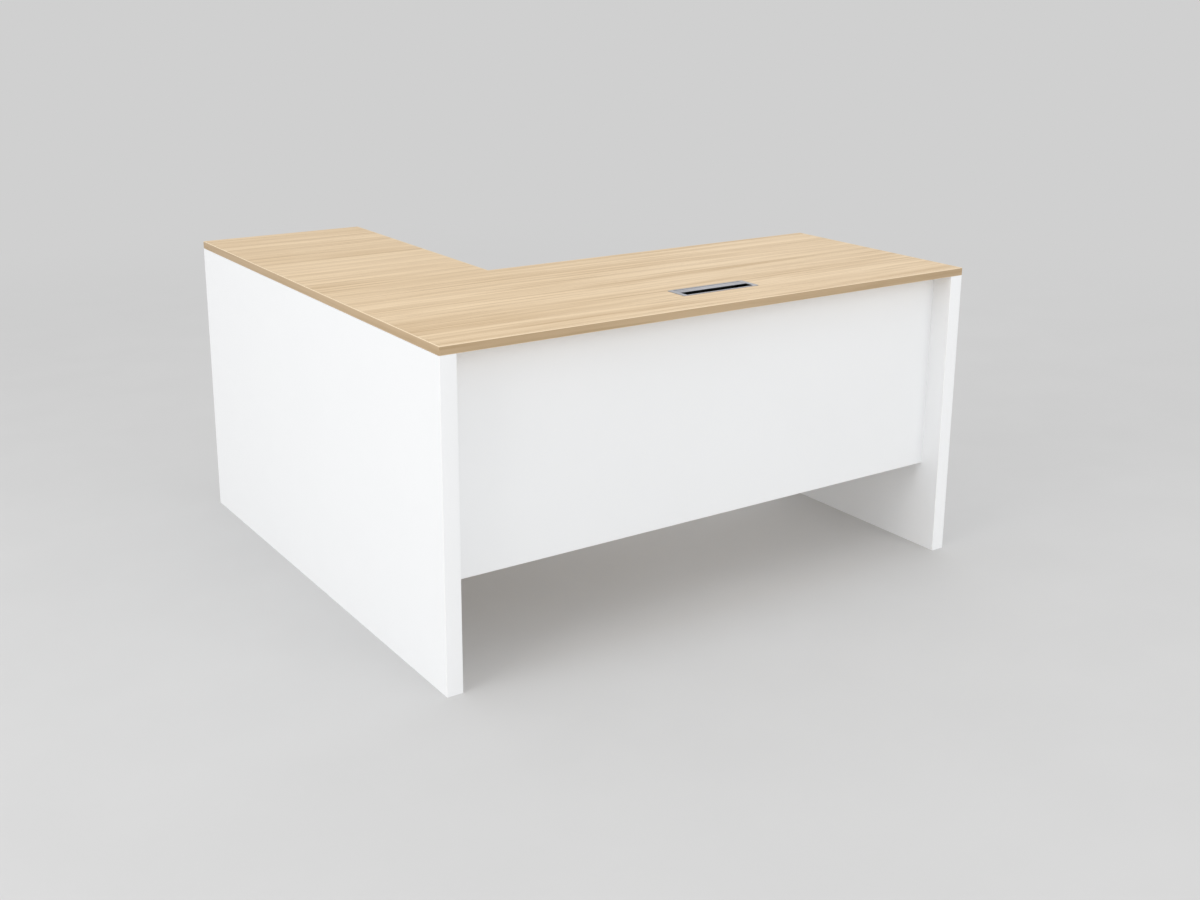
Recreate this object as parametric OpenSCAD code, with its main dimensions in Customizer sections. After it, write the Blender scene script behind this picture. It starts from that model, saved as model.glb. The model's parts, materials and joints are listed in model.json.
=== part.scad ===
// L-shaped corner desk: one-piece worktop on panel legs, with a set-back modesty panel
// and a cable outlet with a flip lid. The front faces -Y and the user sits on the +Y side.
// The origin is on the floor, below the middle of the desk's outline.

/* [Desk] */
// Length along the front, between the outer faces
desk_length = 1460; // [1300:10:1800]
// Length of the return side, from the front edge to the far end
desk_depth = 1350; // [1200:10:1800]
// Height of the worktop's upper face
desk_height = 745; // [700:5:800]

/* [Worktop] */
// Depth of the main wing, from the front edge to the user's edge
main_wing_depth = 600; // [560:10:800]
// Width of the return wing
return_wing_width = 450; // [400:10:600]
// Thickness of the worktop board
top_thickness = 19; // [18:1:30]
// Thickness of all the edging tape
edging_thickness = 2; // [1.5:0.5:3]
// Radius of the edging's outer corners
edging_arris = 1; // [0.4:0.1:1.4]

/* [Panels] */
// Thickness of the two side panels
side_panel_thickness = 38; // [32:1:50]
// Thickness of the panel under the far end of the return
end_panel_thickness = 38; // [32:1:50]
// Thickness of the modesty panel
modesty_thickness = 19; // [18:1:25]
// Distance of the modesty panel behind the front edge
modesty_setback = 57; // [20:1:90]
// Height of the modesty panel's lower edge
modesty_clearance = 225; // [100:5:350]

/* [Cam fittings] */
// Radius of a cam lock's bore
cam_radius = 7.5; // [6.5:0.5:8]
// Depth of a cam lock's bore
cam_bore_depth = 13.5; // [12.5:0.5:14]
// Length of a cam lock
cam_length = 12.5; // [11.5:0.5:12.5]
// Distance of a cam lock's axis from the joint
cam_distance = 34; // [24:1:40]
// Distance of the bolts' line from the face that holds the cam locks
bolt_line = 9.5; // [9:0.5:10]
// Radius of a cam bolt's shank
bolt_radius = 3; // [2.5:0.25:3.25]
// Radius of a cam bolt's head
bolt_head_radius = 3.6; // [3.3:0.1:3.8]
// Radius of a cam bolt's thread
bolt_thread_radius = 2.5; // [2:0.25:3]
// Length of a cam bolt's thread
bolt_thread_length = 11; // [8:1:13]
// Radius of a cover cap
cap_radius = 8.8; // [8.4:0.1:10]
// Thickness of a cover cap
cap_thickness = 1; // [0.8:0.1:2]
// Radius of a dowel
dowel_radius = 4; // [3:0.5:5]
// Length of a dowel
dowel_length = 30; // [25:1:35]
// Depth of a dowel in the board that its end meets
dowel_entry = 10; // [8:1:12]
// Distance of a dowel from the cam fitting beside it
dowel_pitch = 32; // [24:1:48]
// Distance of the first and last worktop fittings from a side panel's ends
side_fitting_inset = 130; // [110:5:200]
// Distance of the worktop fittings from the end panel's ends
end_fitting_inset = 70; // [50:5:90]
// Distance of the first and last worktop fittings from the modesty panel's ends
modesty_fitting_inset = 200; // [100:10:400]
// Worktop fittings along the left side panel
left_fitting_count = 4; // [3:1:6]
// Worktop fittings along the right side panel
right_fitting_count = 2; // [2:1:3]
// Worktop fittings along the modesty panel
modesty_fitting_count = 3; // [2:1:5]
// Distance of the modesty panel's side fittings from its upper and lower edges
modesty_side_inset = 80; // [70:5:120]
// Distance of the end panel's side fittings from its upper and lower edges
end_side_inset = 110; // [90:5:200]
// Fittings between the end panel and the left side panel
end_side_count = 3; // [2:1:4]

/* [Cable outlet] */
// Distance of the outlet's middle from the left edge of the worktop
outlet_from_left = 783; // [300:0.5:1100]
// Distance of the outlet behind the modesty panel
outlet_behind_modesty = 31.5; // [15:0.5:200]
// Length of the outlet frame
frame_length = 218; // [200:1:260]
// Width of the outlet frame
frame_width = 64; // [58:1:90]
// Thickness of the outlet frame
frame_thickness = 1; // [1:0.1:2.5]
// Radius of the outlet frame's corners
frame_corner = 3; // [1:0.5:6]
// Radius of the corners of the outlet's mouth
mouth_corner = 1; // [0.5:0.5:1]
// Width of the frame's border at its two ends
frame_end_border = 12; // [12:0.5:20]
// Width of the frame's border at the front
frame_front_border = 5; // [5:0.5:16]
// Width of the frame's border at the hinge side
frame_rear_border = 5; // [4.5:0.5:8]
// Width of the slot that the closed lid leaves open
slot_width = 27; // [15:0.5:30]
// Thickness of the lid
lid_thickness = 3; // [2:0.5:4]
// Thickness of the lid at its front edge, where it is tapered from below
lid_edge = 0.8; // [0.6:0.1:1.5]
// Width of the taper under the lid's front edge
lid_taper = 6; // [4:0.5:7]
// Radius of the lid's hinge barrel
barrel_radius = 3.8; // [3.5:0.1:4.5]
// Gap between the lid's barrel and the frame
hinge_gap = 0.7; // [0.6:0.1:1.5]
// Gap at each end of the lid
lid_end_gap = 0.5; // [0.3:0.1:1]
// Radius of a hinge pin
pin_radius = 1.25; // [1:0.05:1.5]
// Length of a hinge pin
pin_length = 12; // [8:1:20]
// Wall of the liner
liner_wall = 2.5; // [2:0.5:4]
// Depth of the liner below the worktop's upper face
liner_depth = 70; // [30:1:80]
// Thickness of the liner's flange
liner_flange = 2.4; // [2:0.1:3]
// Distance of the flange's outline inside the frame's
flange_margin = 0.5; // [0.3:0.1:0.8]
// Width of the ledges that the lid's ends rest on
ledge_width = 3; // [2:0.5:5]
// Height of the lid's ledges
ledge_height = 4; // [3:0.5:8]
// Length of the lid's ledges
ledge_length = 6; // [4:0.5:8]
// Radius of the pegs that locate the frame on the liner
peg_radius = 1.5; // [1:0.25:2]
// Length of the frame's pegs
peg_length = 2; // [1:0.25:2]
// Distance of the liner screws from the front and the rear of the mouth
screw_inset = 9; // [6:1:15]
// Length of a liner screw
screw_length = 15; // [10:1:16]
// Radius of a liner screw's shank
screw_radius = 1.5; // [1.5:0.25:2]
// Radius of a liner screw's head
screw_head_radius = 3; // [3:0.1:4]

/* [Levelling feet] */
// Distance of the feet from the panels' ends
foot_inset = 80; // [50:5:150]
// Radius of a foot's pad
pad_radius = 12.5; // [10:0.5:13]
// Thickness of a foot's pad
pad_thickness = 4.7; // [3:0.1:6]
// Thickness of a foot's pad below its stud
pad_floor = 2; // [1:0.5:2.5]
// Room round a foot's pad in its pocket
pocket_play = 1.5; // [0.5:0.5:2]
// Radius of the hexagon on a foot's pad, across its corners
hexagon_radius = 8; // [7:0.5:9]
// Height of the hexagon on a foot's pad
hexagon_height = 2; // [1:0.5:3]
// Radius of a foot's stud
stud_radius = 4; // [3:0.5:5]
// Length of a foot's stud
stud_length = 40; // [35:1:50]
// Outer radius of a threaded insert
insert_radius = 5.6; // [5.5:0.1:7]
// Length of a threaded insert's barrel
insert_length = 16; // [12:1:20]
// Radius of a threaded insert's flange
insert_flange_radius = 10; // [8:0.5:11]
// Thickness of a threaded insert's flange
insert_flange = 1.5; // [1:0.5:2]
// Height of a drawn-in foot above the floor
foot_lift = 0.5; // [0.3:0.1:2]

/* [Clearances] */
// Radial clearance of bolts, dowels, screws and inserts in their holes
hole_play = 0.1; // [0.05:0.05:0.2]
// Radial clearance of a cam lock in its bore
cam_play = 0.2; // [0.1:0.1:0.4]
// Radial clearance of a hinge pin in the lid
pin_play = 0.05; // [0.02:0.01:0.1]
// Radial clearance of a foot's stud in its insert
stud_play = 0.1; // [0.05:0.01:0.1]
// Radial clearance of a foot's stud in the panel above its insert
stud_bore_play = 0.5; // [0.3:0.1:1]
// Room above a drawn-in stud
stud_room = 5; // [2:1:10]
// Radial clearance of a cam bolt's head
head_play = 0.3; // [0.2:0.1:0.4]
// Gap between a moving piece and what it rests against
rest_gap = 0.3; // [0.2:0.1:0.5]
// Clearance round the liner in the worktop
liner_play = 0.5; // [0.3:0.1:1]
// Clearance round the outlet frame in the worktop's rebate
frame_play = 0.3; // [0.2:0.1:0.5]

/* [Hidden] */
$fn = 48;

oak = "#e1cbac";
oak_edge = "#c4a887";
white_board = "#f2f2f2";
white_tape = "#ececec";
aluminium = "#c0c2c4";
zinc = "#b4b7ba";
beech = "#d8b888";
black_plastic = "#1c1c1e";

x_left = -desk_length / 2;
x_right = desk_length / 2;
x_inner = x_left + return_wing_width;
y_front = -desk_depth / 2;
y_far = desk_depth / 2;
y_user = y_front + main_wing_depth;
z_under = desk_height - top_thickness;

left_inside = x_left + side_panel_thickness;
right_inside = x_right - side_panel_thickness;
end_inside = y_far - end_panel_thickness;
modesty_front = y_front + modesty_setback;
modesty_inside = modesty_front + modesty_thickness;

// Shortest length that a cut is carried past the face that it opens
past = 1;

// Evenly spaced values from first to last
function spread(first, last, count) = [for (i = [0:count - 1]) first + (last - first) * i / (count - 1)];

// A fitting is a point on the joint, a tilt about Y and a turn about the bolt. Along its own +Z
// lies the board that the bolt is screwed into, and +X points out of the face that holds the cam.
left_line = spread(y_front + side_fitting_inset, y_far - side_fitting_inset, left_fitting_count);
right_line = spread(y_front + side_fitting_inset, y_user - side_fitting_inset, right_fitting_count);
end_line = [left_inside + end_fitting_inset, x_inner - end_fitting_inset];
modesty_line = spread(
    left_inside + modesty_fitting_inset,
    right_inside - modesty_fitting_inset,
    modesty_fitting_count
);
modesty_heights = [modesty_clearance + modesty_side_inset, z_under - modesty_side_inset];
end_heights = spread(end_side_inset, z_under - end_side_inset, end_side_count);

left_bolt_x = left_inside - bolt_line;
right_bolt_x = right_inside + bolt_line;
end_bolt_y = end_inside + bolt_line;
modesty_bolt_y = modesty_inside - bolt_line;

left_top_fittings = [for (y = left_line) [[left_bolt_x, y, z_under], 0, 0]];
right_top_fittings = [for (y = right_line) [[right_bolt_x, y, z_under], 0, 180]];
end_top_fittings = [for (x = end_line) [[x, end_bolt_y, z_under], 0, 270]];
modesty_top_fittings = [for (x = modesty_line) [[x, modesty_bolt_y, z_under], 0, 90]];
top_fittings = concat(left_top_fittings, right_top_fittings, end_top_fittings, modesty_top_fittings);

modesty_left_fittings = [for (z = modesty_heights) [[left_inside, modesty_bolt_y, z], -90, 90]];
modesty_right_fittings = [for (z = modesty_heights) [[right_inside, modesty_bolt_y, z], 90, 90]];
modesty_side_fittings = concat(modesty_left_fittings, modesty_right_fittings);
end_side_fittings = [for (z = end_heights) [[left_inside, end_bolt_y, z], -90, -90]];

// Dowels stand beside the first and last fitting of each row, towards its middle
function inwards(list) = [list[0] + dowel_pitch, list[len(list) - 1] - dowel_pitch];
left_top_dowels = [for (y = inwards(left_line)) [[left_bolt_x, y, z_under], 0, 0]];
right_top_dowels = [for (y = inwards(right_line)) [[right_bolt_x, y, z_under], 0, 180]];
end_top_dowels = [for (x = inwards(end_line)) [[x, end_bolt_y, z_under], 0, 270]];
modesty_top_dowels = [for (x = inwards(modesty_line)) [[x, modesty_bolt_y, z_under], 0, 90]];
top_dowels = concat(left_top_dowels, right_top_dowels, end_top_dowels, modesty_top_dowels);
modesty_left_dowels = [for (z = inwards(modesty_heights)) [[left_inside, modesty_bolt_y, z], -90, 90]];
modesty_right_dowels = [for (z = inwards(modesty_heights)) [[right_inside, modesty_bolt_y, z], 90, 90]];
modesty_side_dowels = concat(modesty_left_dowels, modesty_right_dowels);
end_side_dowels = [for (z = inwards(end_heights)) [[left_inside, end_bolt_y, z], -90, -90]];

// Places of the levelling feet under the panels
left_foot_x = x_left + side_panel_thickness / 2;
right_foot_x = x_right - side_panel_thickness / 2;
left_front_foot = [left_foot_x, y_front + foot_inset];
left_middle_foot = [left_foot_x, (y_front + y_far) / 2];
left_far_foot = [left_foot_x, y_far - foot_inset];
right_front_foot = [right_foot_x, y_front + foot_inset];
right_rear_foot = [right_foot_x, y_user - foot_inset];
return_end_foot = [x_inner - foot_inset, y_far - end_panel_thickness / 2];
left_feet = [left_front_foot, left_middle_foot, left_far_foot];
right_feet = [right_front_foot, right_rear_foot];

// Heights inside a levelling foot's pocket, from the floor
pad_top = foot_lift + pad_thickness;
hexagon_top = pad_top + hexagon_height;
insert_seat = hexagon_top + rest_gap + insert_flange;
pocket_radius = pad_radius + pocket_play;
stud_base = foot_lift + pad_floor;
stud_top = stud_base + stud_length;

// The outlet's own frame has its origin in the middle of the frame, on the worktop's upper face
outlet_x = x_left + outlet_from_left;
outlet_y = modesty_inside + outlet_behind_modesty + frame_width / 2;
mouth_x = frame_length / 2 - frame_end_border;
mouth_front = -frame_width / 2 + frame_front_border;
mouth_rear = frame_width / 2 - frame_rear_border;
slot_rear = mouth_front + slot_width;
hinge_y = mouth_rear - hinge_gap - barrel_radius;
hinge_z = frame_thickness - barrel_radius;
lid_x = mouth_x - lid_end_gap;
lid_under = frame_thickness - lid_thickness;
liner_x = mouth_x + liner_wall;
liner_front = mouth_front - liner_wall;
liner_rear = mouth_rear + liner_wall;
screw_x = (liner_x + frame_length / 2 - flange_margin) / 2;
screw_lines = [mouth_front + screw_inset, mouth_rear - screw_inset];
screw_places = [for (side = [-1, 1], y = screw_lines) [side * screw_x, y]];
peg_places = [for (side = [-1, 1]) [side * screw_x, (mouth_front + mouth_rear) / 2]];
screw_top = -hole_play;

// Moves its children to a fitting, turned so that the bolt runs along Z
module at_fitting(fitting) {
    translate(fitting[0])
        rotate([0, fitting[1], 0])
            rotate([0, 0, fitting[2]])
                children();
}

// Moves its children into the outlet's own frame
module at_outlet() {
    translate([outlet_x, outlet_y, desk_height])
        children();
}

// Does its children at both ends of the outlet
module both_ends() {
    for (side = [0, 1])
        mirror([side, 0, 0])
            children();
}

// Cylinder along X, from x = from to x = to
module rod_x(radius, from, to) {
    translate([from, 0, 0])
        rotate([0, 90, 0])
            cylinder(r = radius, h = to - from);
}

// Flat rectangle from one corner to the other, with round corners
module rounded_rectangle(low, high, radius) {
    size = high - low;
    union() {
        translate(low + [radius, 0])
            square([size[0] - 2 * radius, size[1]]);
        translate(low + [0, radius])
            square([size[0], size[1] - 2 * radius]);
        for (x = [low[0] + radius, high[0] - radius], y = [low[1] + radius, high[1] - radius])
            translate([x, y])
                circle(radius);
    }
}

// L-shaped outline of the worktop, drawn in by inset
module worktop_outline(inset) {
    polygon([
        [x_left + inset, y_front + inset],
        [x_right - inset, y_front + inset],
        [x_right - inset, y_user - inset],
        [x_inner - inset, y_user - inset],
        [x_inner - inset, y_far - inset],
        [x_left + inset, y_far - inset]
    ]);
}

// Section of the edging tape: its outer face lies on x = 0 and its corners there are round
module edging_section(width) {
    union() {
        translate([edging_arris, 0])
            square([edging_thickness - edging_arris, width]);
        translate([0, edging_arris])
            square([edging_thickness, width - 2 * edging_arris]);
        for (y = [edging_arris, width - edging_arris])
            translate([edging_arris, y])
                circle(edging_arris);
    }
}

// Strip of worktop edging. It starts at a corner of the worktop and runs along heading, with the
// board on its left. A mitre of 1 is cut for an outer corner and a mitre of -1 for the inner one.
module worktop_edging(corner, heading, run, start_mitre, end_mitre) {
    color(oak_edge)
        translate([corner[0], corner[1], z_under])
            rotate([0, 0, heading])
                intersection() {
                    translate([-edging_thickness, 0, 0])
                        rotate([90, 0, 90])
                            linear_extrude(run + 2 * edging_thickness)
                                edging_section(top_thickness);
                    linear_extrude(top_thickness)
                        polygon([
                            [0, 0],
                            [run, 0],
                            [run - end_mitre * edging_thickness, edging_thickness],
                            [start_mitre * edging_thickness, edging_thickness]
                        ]);
                }
}

// Upright strip of panel edging, with its outer face on the plane x = 0 of its own frame
module upright_edging(width, turn) {
    rotate([0, 0, turn])
        linear_extrude(z_under)
            edging_section(width);
}

// Everything that a cam fitting takes out of the two boards that it joins
module fitting_void() {
    cylinder(r = bolt_thread_radius + hole_play, h = bolt_thread_length + past);
    translate([0, 0, -cam_distance])
        cylinder(r = bolt_head_radius + head_play, h = cam_distance);
    translate([0, 0, -cam_distance])
        rod_x(cam_radius, bolt_line - cam_bore_depth, bolt_line + past);
}

// Hole of a dowel in the two boards that it joins
module dowel_void() {
    translate([0, 0, dowel_entry - dowel_length])
        cylinder(r = dowel_radius + hole_play, h = dowel_length + past);
}

// Pocket, insert hole and stud hole of a levelling foot
module foot_void(place) {
    translate([place[0], place[1], 0]) {
        translate([0, 0, -past])
            cylinder(r = pocket_radius, h = insert_seat + past);
        cylinder(r = insert_radius + hole_play, h = insert_seat + insert_length);
        cylinder(r = stud_radius + stud_bore_play, h = stud_top + stud_room);
    }
}

module fitting_voids(fittings) {
    for (fitting = fittings)
        at_fitting(fitting)
            fitting_void();
}

module dowel_voids(dowels) {
    for (dowel = dowels)
        at_fitting(dowel)
            dowel_void();
}

// Screw with a mushroom head that the cam lock draws in
module cam_bolt() {
    head_height = 2.4;
    neck_length = 2.6;
    cylinder(r = bolt_thread_radius, h = bolt_thread_length);
    translate([0, 0, neck_length - cam_distance])
        cylinder(r = bolt_radius, h = cam_distance - neck_length);
    translate([0, 0, -cam_distance])
        cylinder(r = bolt_radius - 1, h = neck_length);
    translate([0, 0, -cam_distance - head_height / 2])
        cylinder(r = bolt_head_radius, h = head_height);
}

// Cam lock: a drum with a way in for the bolt, a chamber for its head and a cross recess
module cam_lock() {
    back = bolt_line - cam_bore_depth;
    face = back + cam_length;
    way = bolt_head_radius + head_play;
    cross_length = 8;
    cross_width = 1.6;
    cross_depth = 2;
    translate([0, 0, -cam_distance])
        difference() {
            rod_x(cam_radius - cam_play, back, face);
            translate([-way, -way, -way])
                cube([2 * way, 2 * way, cam_radius + way]);
            for (turn = [45, 135])
                rotate([turn, 0, 0])
                    translate([face - cross_depth, -cross_length / 2, -cross_width / 2])
                        cube([cross_depth + past, cross_length, cross_width]);
        }
}

// Cap over a cam lock, with a spigot in the bore's mouth
module cover_cap() {
    spigot_length = 0.8;
    translate([0, 0, -cam_distance]) {
        rod_x(cap_radius, bolt_line, bolt_line + cap_thickness);
        rod_x(cam_radius - cam_play, bolt_line - spigot_length, bolt_line);
    }
}

module dowel() {
    translate([0, 0, dowel_entry - dowel_length])
        cylinder(r = dowel_radius, h = dowel_length);
}

module cam_bolts(fittings) {
    color(zinc)
        for (fitting = fittings)
            at_fitting(fitting)
                cam_bolt();
}

module cam_locks(fittings) {
    color(zinc)
        for (fitting = fittings)
            at_fitting(fitting)
                cam_lock();
}

module dowels(places) {
    color(beech)
        for (place = places)
            at_fitting(place)
                dowel();
}

module worktop_board() {
    color(oak)
        difference() {
            translate([0, 0, z_under])
                linear_extrude(top_thickness)
                    worktop_outline(edging_thickness);
            fitting_voids(top_fittings);
            dowel_voids(top_dowels);
            at_outlet()
                outlet_void();
        }
}

module worktop_edging_front() {
    worktop_edging([x_left, y_front], 0, desk_length, 1, 1);
}

module worktop_edging_right() {
    worktop_edging([x_right, y_front], 90, main_wing_depth, 1, 1);
}

module worktop_edging_user() {
    worktop_edging([x_right, y_user], 180, desk_length - return_wing_width, 1, -1);
}

module worktop_edging_return() {
    worktop_edging([x_inner, y_user], 90, desk_depth - main_wing_depth, -1, 1);
}

module worktop_edging_end() {
    worktop_edging([x_inner, y_far], 180, return_wing_width, 1, 1);
}

module worktop_edging_left() {
    worktop_edging([x_left, y_far], 270, desk_depth, 1, 1);
}

module left_side_panel() {
    color(white_board)
        difference() {
            translate([x_left, y_front + edging_thickness, 0])
                cube([side_panel_thickness, desk_depth - 2 * edging_thickness, z_under]);
            fitting_voids(concat(left_top_fittings, modesty_left_fittings, end_side_fittings));
            dowel_voids(concat(left_top_dowels, modesty_left_dowels, end_side_dowels));
            for (place = left_feet)
                foot_void(place);
        }
}

module left_panel_edging() {
    color(white_tape) {
        translate([left_inside, y_front, 0])
            upright_edging(side_panel_thickness, 90);
        translate([x_left, y_far, 0])
            upright_edging(side_panel_thickness, -90);
    }
}

module right_side_panel() {
    color(white_board)
        difference() {
            translate([right_inside, y_front + edging_thickness, 0])
                cube([side_panel_thickness, main_wing_depth - 2 * edging_thickness, z_under]);
            fitting_voids(concat(right_top_fittings, modesty_right_fittings));
            dowel_voids(concat(right_top_dowels, modesty_right_dowels));
            for (place = right_feet)
                foot_void(place);
        }
}

module right_panel_edging() {
    color(white_tape) {
        translate([x_right, y_front, 0])
            upright_edging(side_panel_thickness, 90);
        translate([right_inside, y_user, 0])
            upright_edging(side_panel_thickness, -90);
    }
}

module modesty_panel() {
    foot = modesty_clearance + edging_thickness;
    color(white_board)
        difference() {
            translate([left_inside, modesty_front, foot])
                cube([right_inside - left_inside, modesty_thickness, z_under - foot]);
            fitting_voids(concat(modesty_top_fittings, modesty_side_fittings));
            dowel_voids(concat(modesty_top_dowels, modesty_side_dowels));
        }
}

module modesty_edging() {
    color(white_tape)
        translate([left_inside, modesty_inside, modesty_clearance])
            rotate([90, 0, 90])
                rotate([0, 0, 90])
                    linear_extrude(right_inside - left_inside)
                        edging_section(modesty_thickness);
}

module return_end_panel() {
    color(white_board)
        difference() {
            translate([left_inside, end_inside, 0])
                cube([x_inner - edging_thickness - left_inside, end_panel_thickness, z_under]);
            fitting_voids(concat(end_top_fittings, end_side_fittings));
            dowel_voids(concat(end_top_dowels, end_side_dowels));
            foot_void(return_end_foot);
        }
}

module end_panel_edging() {
    color(white_tape)
        translate([x_inner, y_far, 0])
            upright_edging(end_panel_thickness, 180);
}

module worktop_cam_bolts() {
    cam_bolts(top_fittings);
}

module worktop_cam_locks() {
    cam_locks(top_fittings);
}

module worktop_dowels() {
    dowels(top_dowels);
}

module modesty_cam_bolts() {
    cam_bolts(modesty_side_fittings);
}

module modesty_cam_locks() {
    cam_locks(modesty_side_fittings);
}

module modesty_dowels() {
    dowels(modesty_side_dowels);
}

module end_panel_cam_bolts() {
    cam_bolts(end_side_fittings);
}

module end_panel_cam_locks() {
    cam_locks(end_side_fittings);
}

module end_panel_dowels() {
    dowels(end_side_dowels);
}

module cam_cover_caps() {
    color(white_tape)
        for (fitting = concat(top_fittings, modesty_side_fittings, end_side_fittings))
            at_fitting(fitting)
                cover_cap();
}

// Cut-out, rebate and screw holes of the outlet in the worktop
module outlet_void() {
    rebate = [frame_length / 2 + frame_play, frame_width / 2 + frame_play];
    translate([0, 0, -top_thickness - past])
        linear_extrude(top_thickness + 2 * past)
            rounded_rectangle(
                [-liner_x - liner_play, liner_front - liner_play],
                [liner_x + liner_play, liner_rear + liner_play],
                mouth_corner + liner_wall
            );
    translate([0, 0, -liner_flange])
        linear_extrude(liner_flange + past)
            rounded_rectangle(-rebate, rebate, frame_corner + frame_play);
    for (place = screw_places)
        translate([place[0], place[1], screw_top - screw_length - past])
            cylinder(r = screw_radius + hole_play, h = screw_length);
}

// Flat trim round the outlet's mouth. It stands on the liner's flange, where its pegs locate it.
module outlet_frame() {
    color(aluminium)
        at_outlet() {
            linear_extrude(frame_thickness)
                difference() {
                    rounded_rectangle(
                        [-frame_length / 2, -frame_width / 2],
                        [frame_length / 2, frame_width / 2],
                        frame_corner
                    );
                    rounded_rectangle([-mouth_x, mouth_front], [mouth_x, mouth_rear], mouth_corner);
                }
            for (place = peg_places)
                translate([place[0], place[1], -peg_length])
                    cylinder(r = peg_radius, h = peg_length + frame_thickness / 2);
        }
}

// Black liner: a flange in the worktop's rebate, four walls, a floor under the slot and an
// open way out for cables under the lid
module outlet_liner() {
    flange = [frame_length / 2 - flange_margin, frame_width / 2 - flange_margin];
    ledge_y = slot_rear + lid_taper;
    color(black_plastic)
        at_outlet() {
            difference() {
                union() {
                    translate([0, 0, -liner_flange])
                        linear_extrude(liner_flange)
                            rounded_rectangle(-flange, flange, frame_corner - flange_margin);
                    translate([0, 0, -liner_depth])
                        linear_extrude(liner_depth)
                            rounded_rectangle(
                                [-liner_x, liner_front],
                                [liner_x, liner_rear],
                                mouth_corner + liner_wall
                            );
                }
                translate([0, 0, liner_wall - liner_depth])
                    linear_extrude(liner_depth)
                        rounded_rectangle([-mouth_x, mouth_front], [mouth_x, mouth_rear], mouth_corner);
                translate([0, 0, -liner_depth - past])
                    linear_extrude(liner_depth)
                        rounded_rectangle([-mouth_x, slot_rear], [mouth_x, mouth_rear], mouth_corner);
                both_ends()
                    translate([0, hinge_y, hinge_z])
                        rod_x(pin_radius, mouth_x - past, liner_x + past);
                for (place = screw_places)
                    translate([place[0], place[1], screw_top])
                        screw_void();
                for (place = peg_places)
                    translate([place[0], place[1], -liner_flange - past])
                        cylinder(r = peg_radius + hole_play, h = liner_flange + 2 * past);
            }
            both_ends()
                translate([mouth_x - ledge_width, ledge_y, lid_under - rest_gap - ledge_height])
                    cube([ledge_width + liner_wall / 2, ledge_length, ledge_height]);
        }
}

// Lid: a plate, tapered from below to a thin front edge, with a hinge barrel along its rear
module outlet_lid() {
    color(aluminium)
        at_outlet()
            difference() {
                translate([-lid_x, 0, 0])
                    rotate([90, 0, 90])
                        linear_extrude(2 * lid_x)
                            union() {
                                polygon([
                                    [slot_rear, frame_thickness],
                                    [slot_rear, frame_thickness - lid_edge],
                                    [slot_rear + lid_taper, lid_under],
                                    [hinge_y, lid_under],
                                    [hinge_y, frame_thickness]
                                ]);
                                translate([hinge_y, hinge_z])
                                    circle(barrel_radius);
                            }
                both_ends()
                    translate([0, hinge_y, hinge_z])
                        rod_x(pin_radius + pin_play, liner_x - pin_length - past, lid_x + past);
            }
}

module outlet_hinge_pins() {
    color(zinc)
        at_outlet()
            both_ends()
                translate([0, hinge_y, hinge_z])
                    rod_x(pin_radius, liner_x - pin_length, liner_x);
}

// Countersink and hole of a liner screw, from the screw's upper face down
module screw_void() {
    sink = screw_head_radius - screw_radius;
    translate([0, 0, -sink])
        cylinder(r1 = screw_radius + hole_play, r2 = screw_head_radius + hole_play, h = sink);
    cylinder(r = screw_head_radius + hole_play, h = past);
    translate([0, 0, -screw_length])
        cylinder(r = screw_radius + hole_play, h = screw_length);
}

module outlet_screws() {
    sink = screw_head_radius - screw_radius;
    recess_depth = 1;
    recess_length = 3.6;
    recess_width = 0.9;
    color(zinc)
        at_outlet()
            for (place = screw_places)
                translate([place[0], place[1], screw_top])
                    difference() {
                        union() {
                            translate([0, 0, -sink])
                                cylinder(r1 = screw_radius, r2 = screw_head_radius, h = sink);
                            translate([0, 0, -screw_length])
                                cylinder(r = screw_radius, h = screw_length - sink / 2);
                        }
                        for (turn = [0, 90])
                            rotate([0, 0, turn])
                                translate([-recess_length / 2, -recess_width / 2, -recess_depth])
                                    cube([recess_length, recess_width, recess_depth + past]);
                    }
}

// Threaded inserts above the feet, each with its flange under the board
module levelling_inserts() {
    color(zinc)
        for (place = concat(left_feet, right_feet, [return_end_foot]))
            translate([place[0], place[1], insert_seat])
                difference() {
                    union() {
                        cylinder(r = insert_radius, h = insert_length);
                        translate([0, 0, -insert_flange])
                            cylinder(r = insert_flange_radius, h = insert_flange);
                    }
                    translate([0, 0, -insert_flange - past])
                        cylinder(r = stud_radius + stud_play, h = insert_length + insert_flange + 2 * past);
                }
}

// Round pad with a hexagon for a spanner and a socket for the stud
module foot_pad(place) {
    color(black_plastic)
        translate([place[0], place[1], foot_lift])
            difference() {
                union() {
                    cylinder(r = pad_radius, h = pad_thickness);
                    cylinder(r = hexagon_radius, h = pad_thickness + hexagon_height, $fn = 6);
                }
                translate([0, 0, stud_base - foot_lift])
                    cylinder(r = stud_radius + hole_play / 2, h = pad_thickness + hexagon_height);
            }
}

module foot_stud(place) {
    color(zinc)
        translate([place[0], place[1], stud_base])
            cylinder(r = stud_radius, h = stud_length);
}

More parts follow.
